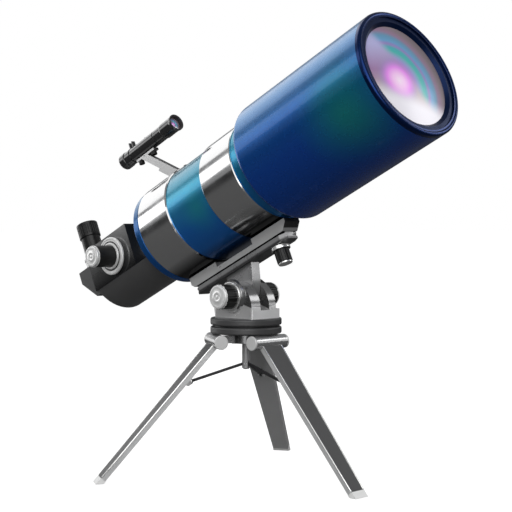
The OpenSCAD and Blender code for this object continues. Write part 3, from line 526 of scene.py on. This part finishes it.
def as_piece(name, bm, mat, body, sharp=35):
    """Makes a mesh object of bm, in the row frame, that rides on a body."""
    bmesh.ops.recalc_face_normals(bm, faces=bm.faces)
    me = bpy.data.meshes.new(name)
    bm.to_mesh(me)
    bm.free()
    for p in me.polygons:
        p.use_smooth = True
    me.set_sharp_from_angle(angle=math.radians(sharp))
    me.materials.append(mat)
    o = bpy.data.objects.new(name, me)
    bpy.context.scene.collection.objects.link(o)
    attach(o, body)


def lathe(name, profile, matrix, mat, body, steps=72):
    """Turns a closed profile of (radius, height) in millimetres round matrix's Z."""
    bm = bmesh.new()
    rings = []
    for r, h in profile:
        if r < 1e-6:
            rings.append([bm.verts.new(matrix @ Vector((0, 0, h * MM)))])
            continue
        rings.append([bm.verts.new(matrix @ (Vector((r * math.cos(a), r * math.sin(a), h)) * MM))
                      for a in (2 * math.pi * i / steps for i in range(steps))])
    for a, b in zip(rings, rings[1:] + rings[:1]):
        if len(a) == 1 and len(b) == 1:
            continue
        for i in range(steps):
            j = (i + 1) % steps
            if len(a) == 1:
                bm.faces.new((a[0], b[i], b[j]))
            elif len(b) == 1:
                bm.faces.new((a[i], b[0], a[j]))
            else:
                bm.faces.new((a[i], b[i], b[j], a[j]))
    as_piece(name, bm, mat, body)


def rod(name, path, radius, mat, body, steps=10):
    """A round bead along a straight path of points, with domed ends that stop near the pole."""
    bm = bmesh.new()
    rings = []
    along = (path[1] - path[0]).normalized()
    askew = Vector((0.31, 0.52, 0.79))                     # not along any rod
    dome = [math.pi / 2 * k / 3.4 for k in (1, 2, 3)]

    def ring(at, r):
        m = basis(at, along, askew)
        rings.append([bm.verts.new(m @ Vector((r * math.cos(a), r * math.sin(a), 0)))
                      for a in (2 * math.pi * i / steps for i in range(steps))])

    for a in reversed(dome):
        ring(path[0] - along * radius * math.sin(a), radius * math.cos(a))
    for p in path:
        ring(p, radius)
    for a in dome:
        ring(path[-1] + along * radius * math.sin(a), radius * math.cos(a))
    for a, b in zip(rings, rings[1:]):
        for i in range(steps):
            j = (i + 1) % steps
            bm.faces.new((a[i], a[j], b[j], b[i]))
    bm.faces.new(rings[0])
    bm.faces.new(rings[-1])
    as_piece(name, bm, mat, body)


def knob_cap(name, centre, outward, radius, body):
    """A turned insert for a knob's cap: a dish, a raised ring and a middle boss.
    Its profile is (share of the radius, height in millimetres)."""
    shares = [(0.0, 0.75), (0.10, 0.7), (0.17, 0.3), (0.24, 0.25), (0.30, 0.75), (0.36, 0.95),
              (0.43, 0.95), (0.48, 0.65), (0.53, 0.3), (0.80, 0.25), (0.86, 0.45), (0.90, 0.35),
              (0.92, -0.5), (0.0, -0.5)]
    lathe(name, [(s * radius, h) for s, h in shares], basis(centre, outward, U), cap_metal,
          body)


for side, name in ((-1, "left"), (1, "right")):
    knob_cap("altitude_cap_" + name, Vector((ALT.x, knob_face[name], ALT.z)), Y * side, 15.4,
             "altitude_knob_" + name)
knob_at = Vector(JOINT["focus_knob_turn"]["pos_m"])
knob_cap("focus_cap", Vector((knob_at.x, focus_face, knob_at.z)), -Y, 14.0, "focus_knob")

# The focus flange's raised collar, the dark groove round it and the bead near its edge
flange = basis(Vector((knob_at.x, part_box("focus_flange")[0].y, knob_at.z)), -Y, U)
lathe("flange_collar", [(16.2, -0.6), (16.2, 0.7), (16.8, 1.2), (18.2, 1.2), (18.9, 0.7),
                        (18.9, -0.6)], flange, flange_metal, "optical_tube")
lathe("flange_groove", [(19.45, -1.1), (19.45, -0.65), (20.4, -0.6), (21.4, -0.75),
                        (21.4, -1.1)], flange, black_flat, "optical_tube")
lathe("flange_bead", [(24.2, -1.1), (24.2, -0.7), (24.7, -0.35), (25.4, -0.35), (25.9, -0.7),
                      (25.9, -1.1)], flange, flange_metal, "optical_tube")

# Bright bead along both outer edges of each leg, sunk a little into the edge: a painted highlight in place of the
# light on the legs' rounded edges
BEAD_R, BEAD_SUNK, BEAD_STEPS = 0.95, 0.35, 6
bead_end = LEG_END - 1.5
for name in LEGS:
    hinge, down, across, out = leg_frame(name)
    for side, tag in ((-1, "a"), (1, "b")):
        path = []
        for k in range(BEAD_STEPS + 1):
            x = BARREL_R + (bead_end - BARREL_R) * k / BEAD_STEPS
            w = LEG_TOP + (LEG_FOOT - LEG_TOP) * x / LEG_END
            path.append(hinge + (down * x + across * side * (w - BEAD_SUNK)
                                 + out * (LEG_T - BEAD_SUNK)) * MM)
        rod("leg_bead_%s_%s" % (name, tag), path, BEAD_R * MM, bright_metal, "leg_" + name)

# ---- floor, light and camera ----

scene = bpy.context.scene
scene.view_settings.view_transform = "Standard"


def camera_white(tree, out, white, other):
    """Joins two shaders: one for what the camera sees, one for reflections and bounced light."""
    path = tree.nodes.new("ShaderNodeLightPath")
    mix = tree.nodes.new("ShaderNodeMixShader")
    tree.links.new(path.outputs["Is Camera Ray"], mix.inputs[0])
    tree.links.new(other, mix.inputs[1])
    tree.links.new(white, mix.inputs[2])
    tree.links.new(mix.outputs[0], out)


# The floor is white paper to the camera and darker in the metal, as in a studio with flags.
floor_mat = Mat("floor_paper", Roughness=0.9, Emission_Strength=0.86)
floor_mat.b.inputs["Emission Color"].default_value = (1.0, 1.0, 1.0, 1.0)
floor_mat.colour(floor_mat.tint((0.45, 0.45, 0.45), floor_mat.noise(40.0), 0.02))
dark = floor_mat.node("ShaderNodeBsdfDiffuse")
dark.inputs["Color"].default_value = (0.12, 0.12, 0.12, 1.0)
camera_white(floor_mat.t, floor_mat.t.nodes["Material Output"].inputs["Surface"],
             floor_mat.b.outputs[0], dark.outputs[0])
bm = bmesh.new()
bmesh.ops.create_grid(bm, x_segments=1, y_segments=1, size=30.0)
floor_mesh = bpy.data.meshes.new("floor")
bm.to_mesh(floor_mesh)
bm.free()
floor_mesh.materials.append(floor_mat.m)
floor = bpy.data.objects.new("floor", floor_mesh)
scene.collection.objects.link(floor)
floor.location = (0, 0, cad_box[0].z - 0.0005)

world = bpy.data.worlds.new("studio")
scene.world = world
world.use_nodes = True
wt = world.node_tree
seen = wt.nodes["Background"]
seen.inputs["Color"].default_value = (1.0, 1.0, 1.0, 1.0)
seen.inputs["Strength"].default_value = 1.0
room = wt.nodes.new("ShaderNodeBackground")
room.inputs["Color"].default_value = (0.97, 0.98, 1.0, 1.0)
room.inputs["Strength"].default_value = 0.30
camera_white(wt, wt.nodes["World Output"].inputs["Surface"], seen.outputs[0], room.outputs[0])


LIGHTS_MEET = tube_point(60, 0)


def softbox(name, towards, along, length, width, glow, distance=2.0):
    """A soft panel of a given glow, in direction towards from where the lights meet."""
    data = bpy.data.lights.new(name, "AREA")
    data.shape = "RECTANGLE"
    data.size, data.size_y = length, width
    data.energy = glow * math.pi * length * width
    o = bpy.data.objects.new(name, data)
    scene.collection.objects.link(o)
    towards = Vector(towards).normalized()
    o.matrix_world = basis(LIGHTS_MEET + towards * distance, towards, along)
    o.visible_camera = False


def mirrored(psi):
    """Where the camera sees the room in the tube's side: psi is the angle about the tube's axis."""
    psi = math.radians(psi)
    along, across = -0.62, 0.78        # the parts of the reflected view along and across the tube
    return T * along + (-Y * math.cos(psi) + U * math.sin(psi)) * across


def compass(azimuth, elevation):
    """A direction given in degrees."""
    a, e = math.radians(azimuth), math.radians(elevation)
    return Vector((math.cos(a) * math.cos(e), math.sin(a) * math.cos(e), math.sin(e)))


softbox("band_high", mirrored(98), T, 3.4, 1.5, 1.15)
softbox("band_low", mirrored(46), T, 3.4, 0.66, 1.75)
softbox("front_fill", (0.9, -0.75, 0.9), Y, 1.8, 1.8, 2.2, 2.4)
softbox("side_fill", (0.2, -1.0, 0.35), Vector((1, 0, 0)), 1.6, 1.2, 1.2, 2.4)
softbox("back_soft", compass(54, 24), Y, 0.55, 0.6, 3.6)
softbox("back_low", compass(46, 4), Y, 0.9, 0.30, 1.7)
softbox("camera_fill", compass(-45, 9), Z, 1.6, 2.2, 2.3, 2.6)

cam_data = bpy.data.cameras.new("camera")
cam = bpy.data.objects.new("camera", cam_data)
scene.collection.objects.link(cam)
look_at = CENTRE + Vector((0.04425, 0.0, -0.0011))         # the middle of the photo
CAM_AZ, CAM_EL, CAM_DIST = math.radians(45.17), math.radians(1.616), 1.7505
back = Vector((math.sin(CAM_AZ) * math.cos(CAM_EL), -math.cos(CAM_AZ) * math.cos(CAM_EL),
               math.sin(CAM_EL)))
cam.location = look_at + back * CAM_DIST
cam.rotation_euler = back.to_track_quat("Z", "Y").to_euler()
cam_data.sensor_width = 36.0
cam_data.lens = 91.8
cam_data.clip_start = 0.01
cam_data.clip_end = 200.0
scene.camera = cam
